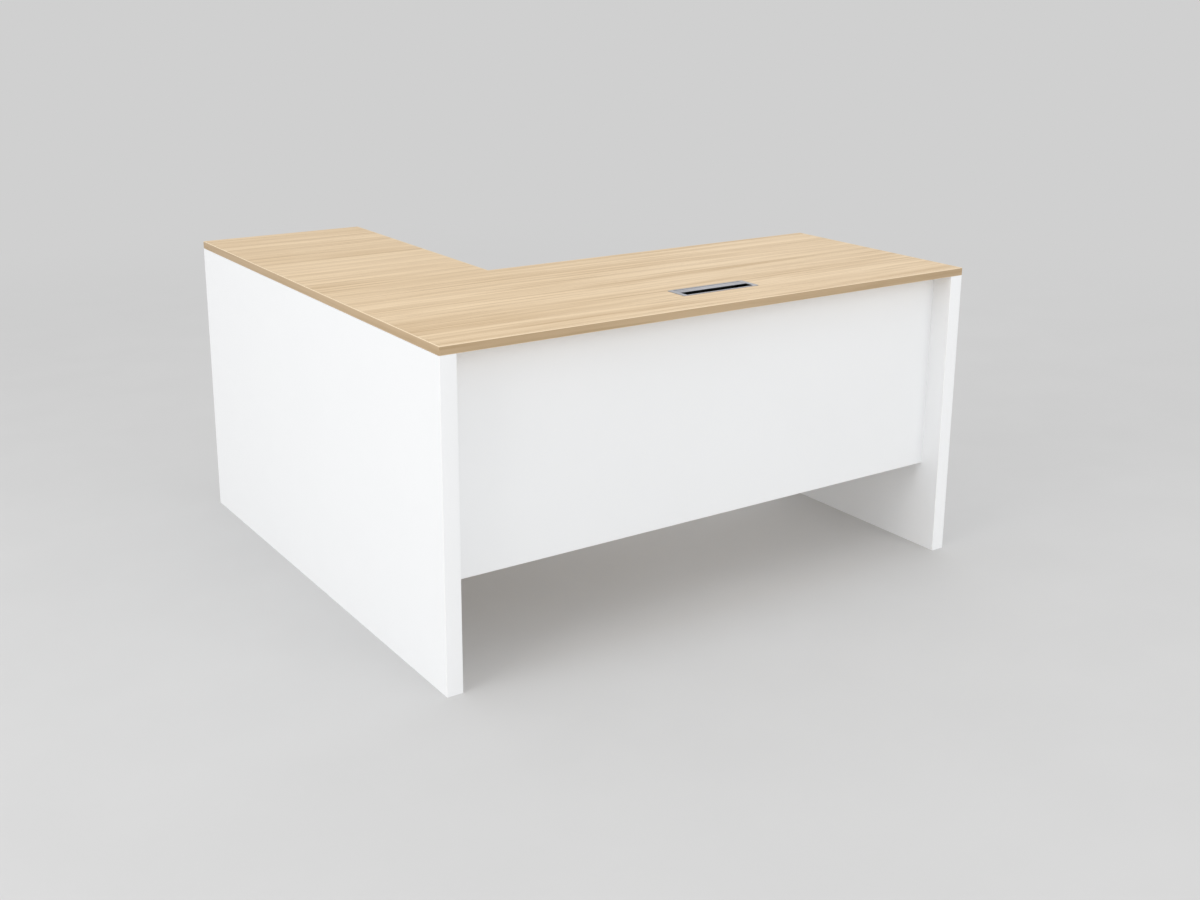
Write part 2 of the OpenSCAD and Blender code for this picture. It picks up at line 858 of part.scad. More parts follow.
worktop_board();
worktop_edging_front();
worktop_edging_right();
worktop_edging_user();
worktop_edging_return();
worktop_edging_end();
worktop_edging_left();
left_side_panel();
left_panel_edging();
right_side_panel();
right_panel_edging();
modesty_panel();
modesty_edging();
return_end_panel();
end_panel_edging();
worktop_cam_bolts();
worktop_cam_locks();
worktop_dowels();
modesty_cam_bolts();
modesty_cam_locks();
modesty_dowels();
end_panel_cam_bolts();
end_panel_cam_locks();
end_panel_dowels();
cam_cover_caps();
outlet_frame();
outlet_liner();
outlet_lid();
outlet_hinge_pins();
outlet_screws();
levelling_inserts();
foot_pad(left_front_foot);  // left_front_foot_pad
foot_stud(left_front_foot);  // left_front_foot_stud
foot_pad(left_middle_foot);  // left_middle_foot_pad
foot_stud(left_middle_foot);  // left_middle_foot_stud
foot_pad(left_far_foot);  // left_far_foot_pad
foot_stud(left_far_foot);  // left_far_foot_stud
foot_pad(right_front_foot);  // right_front_foot_pad
foot_stud(right_front_foot);  // right_front_foot_stud
foot_pad(right_rear_foot);  // right_rear_foot_pad
foot_stud(right_rear_foot);  // right_rear_foot_stud
foot_pad(return_end_foot);  // return_end_foot_pad
foot_stud(return_end_foot);  // return_end_foot_stud
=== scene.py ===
"""L-shaped corner desk: finishes of its boards, and its edging, outlet, caps and feet as modelled pieces.

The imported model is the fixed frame: every size and place here is read from it or added to it. Lengths are
in metres, the front of the desk faces -Y and the user sits on the +Y side.
"""
import json
import math
from contextlib import contextmanager

import bmesh
import bpy
from bpy.props import FloatProperty, FloatVectorProperty, PointerProperty
from bpy.types import NodeSocket, Operator, Panel, PropertyGroup, Scene
from mathutils import Euler, Matrix, Vector

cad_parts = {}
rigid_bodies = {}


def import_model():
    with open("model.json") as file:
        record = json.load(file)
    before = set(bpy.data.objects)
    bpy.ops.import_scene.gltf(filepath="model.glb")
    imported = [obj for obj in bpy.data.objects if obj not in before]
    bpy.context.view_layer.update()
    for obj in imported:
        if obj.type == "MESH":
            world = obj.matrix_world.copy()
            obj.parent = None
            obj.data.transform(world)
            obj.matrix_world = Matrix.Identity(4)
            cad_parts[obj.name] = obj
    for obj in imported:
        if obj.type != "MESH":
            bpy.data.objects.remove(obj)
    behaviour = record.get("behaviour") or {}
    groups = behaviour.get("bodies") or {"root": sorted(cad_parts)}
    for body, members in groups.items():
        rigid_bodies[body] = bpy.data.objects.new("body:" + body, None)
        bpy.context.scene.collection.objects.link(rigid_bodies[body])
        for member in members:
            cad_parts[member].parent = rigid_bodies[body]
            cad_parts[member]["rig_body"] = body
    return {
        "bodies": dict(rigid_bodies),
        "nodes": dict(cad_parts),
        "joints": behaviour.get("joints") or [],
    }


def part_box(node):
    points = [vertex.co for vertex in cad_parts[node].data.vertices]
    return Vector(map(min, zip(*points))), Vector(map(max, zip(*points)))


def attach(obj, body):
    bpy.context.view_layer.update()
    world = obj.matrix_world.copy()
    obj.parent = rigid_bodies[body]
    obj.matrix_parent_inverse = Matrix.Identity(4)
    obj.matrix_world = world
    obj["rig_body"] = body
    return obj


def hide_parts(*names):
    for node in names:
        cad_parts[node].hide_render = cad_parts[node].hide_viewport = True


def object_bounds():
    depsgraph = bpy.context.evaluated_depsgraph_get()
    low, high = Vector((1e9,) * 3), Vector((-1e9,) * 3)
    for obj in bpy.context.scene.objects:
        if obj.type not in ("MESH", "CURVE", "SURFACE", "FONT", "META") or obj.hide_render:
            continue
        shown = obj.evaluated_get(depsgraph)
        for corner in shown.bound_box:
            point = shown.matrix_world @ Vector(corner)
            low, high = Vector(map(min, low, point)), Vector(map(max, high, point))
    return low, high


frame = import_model()
cad_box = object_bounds()

bl_info = {
    "name": "L-shaped corner desk",
    "version": (1, 0, 0),
    "blender": (4, 5, 0),
    "location": "View3D > Sidebar > Desk",
    "description": "Finishes and modelled pieces of an L-shaped corner desk, on its packed frame",
    "category": "Object",
}

METRE, MM = 1.0, 0.001
X, Y, Z = 0, 1, 2
WHITE = (1.0, 1.0, 1.0, 1.0)

# Places nearer than NEAR are one place, and a cut passes through points nearer than CUT_NEAR
NEAR, CUT_NEAR = 1e-5, 2e-6
# Faces that meet at less than this angle are shaded as one
SMOOTH_ANGLE = math.radians(32)
# How far upright faces turn up at most, and level faces at least, as the Z of their normals
UPRIGHT, LEVEL = 0.3, 0.9
# The same where a finish changes softly from a board's faces to its cut edges
SOFT_UPRIGHT, SOFT_LEVEL = 0.4, 0.6

# Segments of the roundings
HEXAGON_SEGMENTS = 2
LID_SEGMENTS = 3
RIM_SEGMENTS = 4
ARRIS_SEGMENTS = 5
MOUTH_SEGMENTS = 6
CORNER_SEGMENTS = 10

# Sides of what is round
THREAD_SIDES = 28
PEG_SIDES = 32
BORE_SIDES = 40
CAP_SIDES = 56
SOCKET_SIDES = 64
BARREL_SIDES = 72
DISC_SIDES = 96

# Share of the thread's pitch that its crest and its root each take
THREAD_FLAT = 1 / 8
# How many pitches below its stud the thread starts, and its turns beyond the stud's length
LEAD_IN, SPARE_TURNS = 1.5, 3

# Share of the pores' colour that shows in the print
PORE_SHARE = 0.55
# How far the grain wanders sideways, and how high its fibres stand, where the pores' depth is 1
GRAIN_WANDER, FIBRE_RELIEF = 0.05, 0.5
# Share of the fine lines in the tone of brushed metal
LINE_SHARE = 0.6
# Stretches of a noise that are spread over 0 to 1
GRAIN_RANGE, CLOUD_RANGE = (0.3, 0.7), (0.35, 0.65)

# Distance between nodes in the editor
NODE_STEP = 180
# Where each lamp stands, and how wide it is
LAMPS = {
    "left_lamp": ((-5.0, -1.1, 2.5), 3.2),
    "front_lamp": ((0.9, -4.4, 2.2), 2.8),
    "top_lamp": ((0.2, 0.2, 4.2), 3.2),
    "back_lamp": ((3.6, 2.4, 3.4), 2.8),
}


def screen(*levels):
    """Scene-linear colour of an 8-bit screen colour."""
    parts = [level / 255 for level in levels]
    return (*(part / 12.92 if part <= 0.04045 else ((part + 0.055) / 1.055) ** 2.4 for part in parts), 1.0)


def length(name, description, value, unit=MM):
    """A settable length, given in millimetres unless a larger unit is named."""
    return FloatProperty(
        name=name, description=description, default=value * unit,
        min=0.0, precision=5, unit="LENGTH", subtype="DISTANCE",
    )


def angle(name, description, degrees):
    """A settable angle, given in degrees."""
    return FloatProperty(name=name, description=description, default=math.radians(degrees), subtype="ANGLE")


def colour(name, description, *levels):
    """A settable colour, given as it looks on screen."""
    return FloatVectorProperty(
        name=name, description=description, default=screen(*levels),
        size=4, min=0.0, max=1.0, subtype="COLOR",
    )


def amount(name, description, value):
    """A settable plain number."""
    return FloatProperty(name=name, description=description, default=value, min=0.0)


class DeskSizes(PropertyGroup):
    """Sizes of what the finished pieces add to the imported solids."""

    arris: length("Edging arris", "Radius of the edging's outer corners", 1.2)
    glue_line: length("Glue line", "Chamfer of the edging where it meets the board", 0.12)
    mouth_gap_ends: length("Gap at the ends", "Gap from the lid's ends to the frame", 0.5)
    mouth_gap_hinge: length("Gap at the hinge", "Gap from the lid's barrel to the frame", 0.7)
    mouth_border: length("Front border", "Width of the frame in front of its mouth", 5.0)
    mouth_corner: length("Mouth corner", "Radius of the mouth's corners", 1.0)
    frame_corner: length("Frame corner", "Radius of the frame's corners", 3.0)
    frame_arris: length("Frame arris", "Radius of the frame's upper edges", 0.35)
    peg_radius: length("Peg radius", "Radius of the pegs under the frame", 1.5)
    peg_inset: length("Peg inset", "Distance of the pegs from the frame's ends", 5.0)
    lid_thickness: length("Lid thickness", "Thickness of the lid's plate", 3.0)
    lid_edge: length("Lid edge", "Thickness of the lid's tapered front edge", 0.8)
    lid_taper: length("Lid taper", "Width of the taper under the lid's front edge", 6.0)
    lid_arris: length("Lid arris", "Radius of the lid's front and end edges", 0.3)
    pin_bore: length("Pin bore", "Radius of the pin holes in the lid", 1.3)
    pin_bore_depth: length("Pin bore depth", "Depth of the pin holes in the lid", 10.0)
    cap_radius: length("Cap radius", "Radius of a cover cap", 8.8)
    cap_thickness: length("Cap thickness", "Thickness of a cap's head", 1.0)
    cap_round: length("Cap rounding", "Radius of a cap's rim", 0.7)
    spigot_radius: length("Spigot radius", "Radius of a cap's spigot", 7.3)
    spigot_depth: length("Spigot depth", "Depth of a cap's spigot", 0.8)
    hexagon_radius: length("Hexagon radius", "Radius of a foot's hexagon at its corners", 8.0)
    hexagon_height: length("Hexagon height", "Height of a foot's hexagon above its pad", 2.0)
    hexagon_round: length("Hexagon rounding", "Radius of the hexagon's upper edges", 0.4)
    pad_round: length("Pad rounding", "Radius of a foot pad's edges", 1.0)
    pad_rim: length("Pad rim", "Width of the rim under a foot pad", 2.5)
    pad_hollow: length("Pad hollow", "Depth of the hollow inside the rim", 0.4)
    socket_depth: length("Socket depth", "Thickness of a foot pad below its stud", 2.0)
    socket_play: length("Socket play", "Room round the stud in its pad", 0.05)
    thread_pitch: length("Thread pitch", "Pitch of the studs' thread", 1.25)
    thread_depth: length("Thread depth", "Depth of the studs' thread", 0.65)


class DeskColours(PropertyGroup):
    """Colours of the finishes, as they look in plain light."""

    oak_light: colour("Oak, light", "Light streaks of the worktop", 236, 211, 175)
    oak_dark: colour("Oak, dark", "Dark streaks of the worktop", 193, 163, 122)
    oak_pore: colour("Oak, pores", "Pores of the worktop", 178, 148, 112)
    tape_light: colour("Oak tape, light", "Light streaks of the worktop's edging", 197, 172, 139)
    tape_dark: colour("Oak tape, dark", "Dark streaks of the worktop's edging", 176, 150, 115)
    # Lighter colour of the trimmed arrises: partly the edging's own trimmed colour, partly a painted
    # highlight
    tape_arris: colour("Oak tape, arris", "Trimmed corners of the worktop's edging", 242, 221, 189)
    board_white: colour("White board", "Panels", 246, 247, 248)
    tape_white: colour("White tape", "Edging of the panels", 250, 251, 252)
    # Colour of the panels' trimmed arrises: partly the edging's own trimmed colour, partly a painted
    # highlight
    white_arris: colour("White tape, arris", "Trimmed corners of the panels' edging", 250, 250, 250)
    cap_white: colour("White cap", "Cover caps", 240, 239, 235)
    chips_light: colour("Chips, light", "Light chips of the boards' raw core", 214, 186, 146)
    chips_dark: colour("Chips, dark", "Dark chips of the boards' raw core", 150, 116, 78)
    aluminium: colour("Aluminium", "Outlet frame and lid", 193, 194, 200)
    zinc: colour("Zinc", "Steel fittings", 198, 200, 203)
    beech: colour("Beech", "Dowels", 222, 190, 146)
    beech_dark: colour("Beech, dark", "Grain of the dowels", 196, 156, 112)
    plastic: colour("Black plastic", "Outlet liner and foot pads", 10, 10, 11)
    floor: colour("Floor", "Floor round the desk", 208, 208, 208)


class DeskStage(PropertyGroup):
    """Camera, lamps and floor."""

    camera_place: FloatVectorProperty(
        name="Camera place", description="Where it stands", default=(-1.9501, -3.0263, 1.4237),
        unit="LENGTH", subtype="TRANSLATION",
    )
    camera_heading: angle("Camera heading", "Turn to the right of straight ahead", 34.268)
    camera_dip: angle("Camera dip", "How far it looks below the horizon", 14.719)
    camera_roll: angle("Camera roll", "Turn about its own axis", 0.4)
    lens: FloatProperty(name="Lens", description="Focal length in mm", default=42.41, unit="CAMERA")
    shift_across: FloatProperty(name="Shift across", description="Lens shift right", default=-0.00266)
    shift_up: FloatProperty(name="Shift up", description="Lens shift up", default=-0.08)
    sky: amount("Sky", "Strength of the even light from all round", 0.88)
    left_lamp: amount("Left lamp", "Its power in watts", 74.0)
    front_lamp: amount("Front lamp", "Its power in watts", 27.0)
    top_lamp: amount("Top lamp", "Its power in watts", 6.0)
    back_lamp: amount("Back lamp", "Its power in watts", 12.0)
    floor_reach: length("Floor reach", "How far the floor runs", 60.0, METRE)
    floor_near: length("Floor, near", "Where it starts to blend into the background", 2.2, METRE)
    floor_far: length("Floor, far", "Where it has blended into the background", 5.0, METRE)


class NodeMaker:
    """Adds nodes to one node tree. An input takes a value, or the socket that feeds it."""

    def __init__(self, tree):
        self.tree = tree

    def add(self, kind, inputs=None, **settings):
        """Adds a node with these settings, and fills its inputs."""
        node = self.tree.nodes.new(kind)
        node.location.x = NODE_STEP * len(self.tree.nodes)
        for name, value in settings.items():
            setattr(node, name, value)
        return self.fill(node, inputs or {})

    def fill(self, node, inputs):
        """Sets a node's inputs, or links them to what feeds them."""
        for socket, value in inputs.items():
            if isinstance(value, NodeSocket):
                self.tree.links.new(value, node.inputs[socket])
            else:
                node.inputs[socket].default_value = value
        return node

    def math(self, operation, first, second=0.0):
        """Result of a sum on one or two numbers."""
        return self.add("ShaderNodeMath", {0: first, 1: second}, operation=operation).outputs[0]

    def vector(self, operation, first, second):
        """Result of a sum on two vectors."""
        return self.add("ShaderNodeVectorMath", {0: first, 1: second}, operation=operation).outputs[0]

    def remap(self, value, low, high, to_low=0.0, to_high=1.0):
        """Brings low..high to to_low..to_high, with soft ends."""
        inputs = {"Value": value, "From Min": low, "From Max": high, "To Min": to_low, "To Max": to_high}
        return self.add("ShaderNodeMapRange", inputs, interpolation_type="SMOOTHSTEP").outputs["Result"]

    def mix(self, share, first, second):
        """Mixes two colours."""
        return self.add("ShaderNodeMix", {0: share, 6: first, 7: second}, data_type="RGBA").outputs[2]

    def varied(self, mask, paint, share):
        """A colour, with a share of its light where a mask is 0."""
        return self.mix(mask, (*(part * share for part in paint[:3]), 1.0), paint)

    def mix_shaders(self, share, first, second):
        """Mixes two shaders."""
        return self.add("ShaderNodeMixShader", {0: share, 1: first, 2: second}).outputs[0]

    def noise(self, place, cells, detail=2.0, roughness=0.5):
        """Noise about 0.5, with so many cells to the metre along X, Y and Z."""
        inputs = {"Vector": self.vector("MULTIPLY", place, cells), "Scale": 1.0, "Detail": detail}
        return self.add("ShaderNodeTexNoise", {**inputs, "Roughness": roughness}).outputs[0]

    def parts(self, vector):
        """X, Y and Z of a vector."""
        return self.add("ShaderNodeSeparateXYZ", {0: vector}).outputs

    def place(self, turn=0.0):
        """Object coordinates in metres, turned about Z."""
        coordinates = self.add("ShaderNodeTexCoord").outputs["Object"]
        if not turn:
            return coordinates
        turned = {"Vector": coordinates, "Rotation": (0.0, 0.0, turn)}
        return self.add("ShaderNodeMapping", turned).outputs[0]

    def group(self, make, **inputs):
        """Places a shared group, which make builds the first time, and gives its outputs."""
        tree = bpy.data.node_groups.get(make.__name__) or make()
        return self.add("ShaderNodeGroup", inputs, node_tree=tree).outputs


def new_group(name, inputs, outputs):
    """Empty shader group with named sockets: the maker of its nodes, and the sockets that come in."""
    tree = bpy.data.node_groups.new(name, "ShaderNodeTree")
    for way, sockets in (("INPUT", inputs), ("OUTPUT", outputs)):
        for socket, kind in sockets.items():
            tree.interface.new_socket(socket, in_out=way, socket_type="NodeSocket" + kind)
    nodes = NodeMaker(tree)
    return nodes, nodes.add("NodeGroupInput").outputs


def wood_grain():
    """Straight wood grain along X: its tone from 0, dark, to 1, light, its pores and its height."""
    outputs = {"Tone": "Float", "Pores": "Float", "Height": "Float"}
    nodes, given = new_group("wood_grain", {"Place": "Vector"}, outputs)
    wander = nodes.noise(given["Place"], (0.8, 2.2, 2.2), detail=1.0)
    lift = nodes.math("MULTIPLY", nodes.math("SUBTRACT", wander, 0.5), GRAIN_WANDER)
    place = nodes.vector("ADD", given["Place"], nodes.add("ShaderNodeCombineXYZ", {"Y": lift}).outputs[0])

    def layer(along, across, dark, light, detail=2.0, roughness=0.5):
        """Streaks with so many cells to the metre, whose noise goes from 0 at dark to 1 at light."""
        return nodes.remap(nodes.noise(place, (along, across, across), detail, roughness), dark, light)

    fibres = layer(along=7.0, across=520.0, dark=0.25, light=0.75)
    shares = (
        (0.13, fibres),
        (0.22, layer(along=0.6, across=15.0, dark=0.34, light=0.66, detail=1.5)),
        (0.36, layer(along=1.4, across=56.0, dark=0.36, light=0.62, detail=3.0, roughness=0.65)),
        (0.34, layer(along=1.9, across=118.0, dark=0.35, light=0.46)),
    )
    tone = 0.0
    for share, streaks in shares:
        tone = nodes.math("ADD", tone, nodes.math("MULTIPLY", streaks, share))
    dashes = layer(along=48.0, across=2100.0, dark=0.6, light=0.7, detail=1.0)
    crowds = layer(along=3.0, across=120.0, dark=0.42, light=0.6, detail=1.0)
    pores = nodes.math("MULTIPLY", dashes, crowds)
    height = nodes.math("SUBTRACT", nodes.math("MULTIPLY", fibres, FIBRE_RELIEF), pores)
    nodes.add("NodeGroupOutput", {"Tone": tone, "Pores": pores, "Height": height})
    return nodes.tree


def fine_grain():
    """Embossed grain of a melamine or moulded surface: its height, and slow patches from 0 to 1."""
    outputs = {"Height": "Float", "Patches": "Float"}
    nodes, given = new_group("fine_grain", {"Place": "Vector", "Cells": "Float"}, outputs)
    cells = nodes.add("ShaderNodeCombineXYZ", {axis: given["Cells"] for axis in "XYZ"}).outputs[0]
    noises = {
        "Height": nodes.noise(given["Place"], cells, roughness=0.55),
        "Patches": nodes.noise(given["Place"], (3.1, 3.7, 3.3), detail=3.0),
    }
    remapped = {name: nodes.remap(noise, *GRAIN_RANGE) for name, noise in noises.items()}
    nodes.add("NodeGroupOutput", remapped)
    return nodes.tree


def arris_band():
    """Mask that rises to 1 on both sides of Middle, over the last Softness before the distance Reach."""
    inputs = {"Along": "Float", "Middle": "Float", "Reach": "Float", "Softness": "Float"}
    nodes, given = new_group("arris_band", inputs, {"Mask": "Float"})
    distance = nodes.math("ABSOLUTE", nodes.math("SUBTRACT", given["Along"], given["Middle"]))
    start = nodes.math("SUBTRACT", given["Reach"], given["Softness"])
    nodes.add("NodeGroupOutput", {"Mask": nodes.remap(distance, start, given["Reach"])})
    return nodes.tree


def raw_core():
    """Chips of a raw board edge: their tone from 0, dark, to 1, light."""
    nodes, given = new_group("raw_core", {"Place": "Vector"}, {"Tone": "Float"})
    stretched = nodes.vector("MULTIPLY", given["Place"], (420.0, 420.0, 650.0))
    chips = nodes.add("ShaderNodeTexVoronoi", {"Vector": stretched, "Scale": 1.0})
    nodes.add("NodeGroupOutput", {"Tone": nodes.parts(chips.outputs["Color"])[X]})
    return nodes.tree


def brushed_metal():
    """Brush lines along X: their height, and a mask of their tone."""
    nodes, given = new_group("brushed_metal", {"Place": "Vector"}, {"Height": "Float", "Tone": "Float"})
    lines = nodes.noise(given["Place"], (60.0, 6500.0, 6500.0), roughness=0.6)
    slow = nodes.noise(given["Place"], (18.0, 240.0, 240.0))
    fine, coarse = nodes.math("MULTIPLY", lines, LINE_SHARE), nodes.math("MULTIPLY", slow, 1 - LINE_SHARE)
    tone = nodes.remap(nodes.math("ADD", fine, coarse), *CLOUD_RANGE)
    nodes.add("NodeGroupOutput", {"Height": lines, "Tone": tone})
    return nodes.tree


def finish(build, suffix="", *details):
    """Material named after build, which gives its shader's inputs and takes the details."""
    name = build.__name__ + suffix
    material = bpy.data.materials.get(name)
    if not material:
        material = bpy.data.materials.new(name)
        material.use_nodes = True
        nodes = NodeMaker(material.node_tree)
        inputs = build(nodes, bpy.context.scene.desk_colours, *details)
        nodes.fill(material.node_tree.nodes["Principled BSDF"], inputs)
    return material


def coat(nodes, paint, mask, rough, smooth, height, depth, specular=0.5, metallic=0.0):
    """Inputs of a shader: its colour, its roughness where a mask is 0 and where it is 1, and its relief."""
    relief = nodes.add("ShaderNodeBump", {"Height": height, "Distance": depth})
    return {
        "Base Color": paint,
        "Roughness": nodes.remap(mask, 0.0, 1.0, rough, smooth),
        "Normal": relief.outputs[0],
        "Specular IOR Level": specular,
        "Metallic": metallic,
    }


def level_mask(nodes):
    """Mask of what faces up or down."""
    facing = nodes.parts(nodes.add("ShaderNodeTexCoord").outputs["Normal"])[Z]
    return nodes.remap(nodes.math("ABSOLUTE", facing), SOFT_UPRIGHT, SOFT_LEVEL)


def raw_chips(nodes, colours, place):
    """Colour of a board's raw core."""
    return nodes.mix(nodes.group(raw_core, Place=place)["Tone"], colours.chips_dark, colours.chips_light)


def trimmed_mask(nodes, axis, low, high, inset, softness):
    """Mask of a strip's trimmed corners, at both ends of its box along an axis, where the finishes paint a
    highlight.
    """
    return nodes.group(
        arris_band,
        Along=nodes.parts(nodes.place())[axis],
        Middle=(low[axis] + high[axis]) / 2,
        Reach=(high[axis] - low[axis]) / 2 - inset,
        Softness=softness,
    )["Mask"]


def oak_melamine(nodes, colours):
    """Oak-look melamine on the worktop's faces, and its raw core where it is cut."""
    place = nodes.place()
    grain = nodes.group(wood_grain, Place=place)
    veneer = nodes.mix(grain["Tone"], colours.oak_dark, colours.oak_light)
    pored = nodes.mix(nodes.math("MULTIPLY", grain["Pores"], PORE_SHARE), veneer, colours.oak_pore)
    paint = nodes.mix(level_mask(nodes), raw_chips(nodes, colours, place), pored)
    return coat(nodes, paint, grain["Tone"], 0.52, 0.42, grain["Height"], 0.06 * MM, specular=0.22)


def oak_tape(nodes, colours, turn):
    """Oak-look edging with its grain along the strip, and lighter where its corners are trimmed: partly the
    trim's own colour, partly a painted highlight.
    """
    grain = nodes.group(wood_grain, Place=nodes.place(turn))
    # Where the edging is painted lighter along its arrises, partly as a highlight, and made smoother
    trimmed = trimmed_mask(nodes, Z, *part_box("worktop_edging_front"), inset=0.5 * MM, softness=1.0 * MM)
    tape = nodes.mix(grain["Tone"], colours.tape_dark, colours.tape_light)
    paint = nodes.mix(trimmed, tape, colours.tape_arris)
    return coat(nodes, paint, trimmed, 0.46, 0.36, grain["Height"], 0.04 * MM, specular=0.25)


def white_melamine(nodes, colours):
    """White melamine on the panels' faces, and the raw core on their upper and lower edges."""
    place = nodes.place()
    grain = nodes.group(fine_grain, Place=place, Cells=1100.0)
    white = nodes.varied(grain["Patches"], colours.board_white, 0.99)
    paint = nodes.mix(level_mask(nodes), white, raw_chips(nodes, colours, place))
    return coat(nodes, paint, grain["Patches"], 0.5, 0.42, grain["Height"], 0.03 * MM, specular=0.3)


def white_tape(nodes, colours, axis, low, high):
    """White edging, smoother and painted a touch lighter where its corners are trimmed, partly as a
    highlight, at both ends of its box along an axis.
    """
    grain = nodes.group(fine_grain, Place=nodes.place(), Cells=1500.0)
    # Where the edging is painted a touch lighter along its arrises, partly as a highlight, and made smoother
    trimmed = trimmed_mask(nodes, axis, low, high, inset=0.0, softness=0.9 * MM)
    tape = nodes.varied(grain["Patches"], colours.tape_white, 0.985)
    paint = nodes.mix(trimmed, tape, colours.white_arris)
    return coat(nodes, paint, trimmed, 0.46, 0.32, grain["Height"], 0.02 * MM, specular=0.3)


def moulded(nodes, paint, cells, rough, smooth, depth):
    """Moulded plastic with a fine spark-eroded grain."""
    grain = nodes.group(fine_grain, Place=nodes.place(), Cells=cells)
    plastic = nodes.varied(grain["Patches"], paint, 0.9)
    return coat(nodes, plastic, grain["Patches"], rough, smooth, grain["Height"], depth)


def white_moulded(nodes, colours):
    """White plastic of the cover caps."""
    return moulded(nodes, colours.cap_white, 2400.0, 0.43, 0.33, 0.02 * MM)


def black_moulded(nodes, colours):
    """Black plastic of the liner and the foot pads."""
    return moulded(nodes, colours.plastic, 1800.0, 0.55, 0.45, 0.05 * MM)


def brushed_aluminium(nodes, colours):
    """Anodised aluminium, brushed along the outlet."""
    brush = nodes.group(brushed_metal, Place=nodes.place())
    paint = nodes.varied(brush["Tone"], colours.aluminium, 0.9)
    return coat(nodes, paint, brush["Tone"], 0.4, 0.3, brush["Height"], 0.012 * MM, metallic=1.0)


def zinc_plated_steel(nodes, colours):
    """Zinc-plated steel, slightly clouded."""
    place = nodes.place()
    clouds = nodes.remap(nodes.noise(place, (260.0, 260.0, 260.0), detail=3.0), *CLOUD_RANGE)
    grain = nodes.group(fine_grain, Place=place, Cells=4000.0)
    paint = nodes.varied(clouds, colours.zinc, 0.8)
    return coat(nodes, paint, clouds, 0.42, 0.28, grain["Height"], 0.01 * MM, metallic=1.0)


def beech_wood(nodes, colours):
    """Beech of the dowels."""
    grain = nodes.group(wood_grain, Place=nodes.vector("MULTIPLY", nodes.place(), (3.0, 3.0, 0.3)))
    paint = nodes.mix(grain["Tone"], colours.beech_dark, colours.beech)
    return coat(nodes, paint, grain["Tone"], 0.7, 0.6, grain["Height"], 0.05 * MM)


def plain_floor(nodes, colours):
    """Matt floor with faint patches."""
    grain = nodes.group(fine_grain, Place=nodes.place(), Cells=90.0)
    paint = nodes.varied(grain["Patches"], colours.floor, 0.985)
    return {"Base Color": paint, "Roughness": 0.85, "Specular IOR Level": 0.1}


def dress(build, *names):
    """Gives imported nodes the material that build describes, by their material slots."""
    for name in names:
        node = frame["nodes"][name]
        if not node.material_slots:
            raise RuntimeError(f"{name} has no material slot")
        for slot in node.material_slots:
            slot.material = finish(build)


def select_only(*pieces):
    """Selects these pieces alone; the first is active."""
    bpy.ops.object.select_all(action="DESELECT")
    for piece in pieces:
        piece.select_set(True)
    bpy.context.view_layer.objects.active = pieces[0]


def pick_all():
    """Selects all of the edited piece."""
    bpy.ops.mesh.select_all(action="SELECT")


def pick(kind, test):
    """Selects the edges or faces of the edited piece that pass a test."""
    bpy.ops.mesh.select_mode(type=kind)
    bpy.ops.mesh.select_all(action="DESELECT")
    data = bpy.context.object.data
    mesh = bmesh.from_edit_mesh(data)
    found = [item for item in (mesh.edges if kind == "EDGE" else mesh.faces) if test(item)]
    if not found:
        raise RuntimeError(f"nothing to select on {bpy.context.object.name}")
    for item in found:
        item.select_set(True)
    bmesh.update_edit_mesh(data)


def face_outwards():
    """Turns the faces of the edited piece outwards."""
    pick_all()
    bpy.ops.mesh.normals_make_consistent()


@contextmanager
def editing(piece):
    """Edit mode on one piece, which leaves its faces pointing outwards."""
    select_only(piece)
    bpy.ops.object.mode_set(mode="EDIT")
    yield
    face_outwards()
    bpy.ops.object.mode_set(mode="OBJECT")


def bevel(radius, segments=1):
    """Rounds the selected edges, or chamfers them."""
    bpy.ops.mesh.bevel(offset=radius, segments=segments)


def extrude(x=0.0, y=0.0, z=0.0):
    """Extrudes what is selected."""
    bpy.ops.mesh.extrude_region_move(TRANSFORM_OT_translate={"value": (x, y, z)})


def cut(point, normal, keep_low=False, keep_high=False):
    """Cuts the edited piece along a plane, and may keep only what lies below or above it."""
    pick_all()
    bpy.ops.mesh.bisect(
        plane_co=point, plane_no=normal, threshold=CUT_NEAR,
        use_fill=keep_low or keep_high, clear_outer=keep_low, clear_inner=keep_high,
    )


def runs_along(edge, axis):
    """True if an edge is parallel to an axis."""
    step = edge.verts[1].co - edge.verts[0].co
    return all(abs(step[other]) < NEAR for other in range(3) if other != axis)


def lies_at(item, axis, value):
    """True if all of an edge or face lies at one value of an axis."""
    return all(abs(vertex.co[axis] - value) < NEAR for vertex in item.verts)


def at_corners(edge, low, high):
    """True if an edge is upright and stands at a corner of a box."""
    point = edge.verts[0].co
    return runs_along(edge, Z) and all(
        min(abs(point[axis] - low[axis]), abs(point[axis] - high[axis])) < NEAR for axis in (X, Y)
    )


def is_rim(edge, side=1):
    """True if an edge joins an upright face to one that looks up, or down for side -1."""
    slopes = sorted(face.normal.z * side for face in edge.link_faces)
    return len(slopes) == 2 and abs(slopes[0]) < UPRIGHT and slopes[1] > LEVEL


def settle(name):
    """Names the new piece and puts its place in its mesh."""
    piece = bpy.context.object
    piece.name = piece.data.name = name
    bpy.ops.object.transform_apply()
    return piece


def start_box(name, low, high):
    """Block between two corners."""
    middle, size = (Vector(low) + Vector(high)) / 2, Vector(high) - Vector(low)
    bpy.ops.mesh.primitive_cube_add(size=1.0, location=middle, scale=size)
    return settle(name)


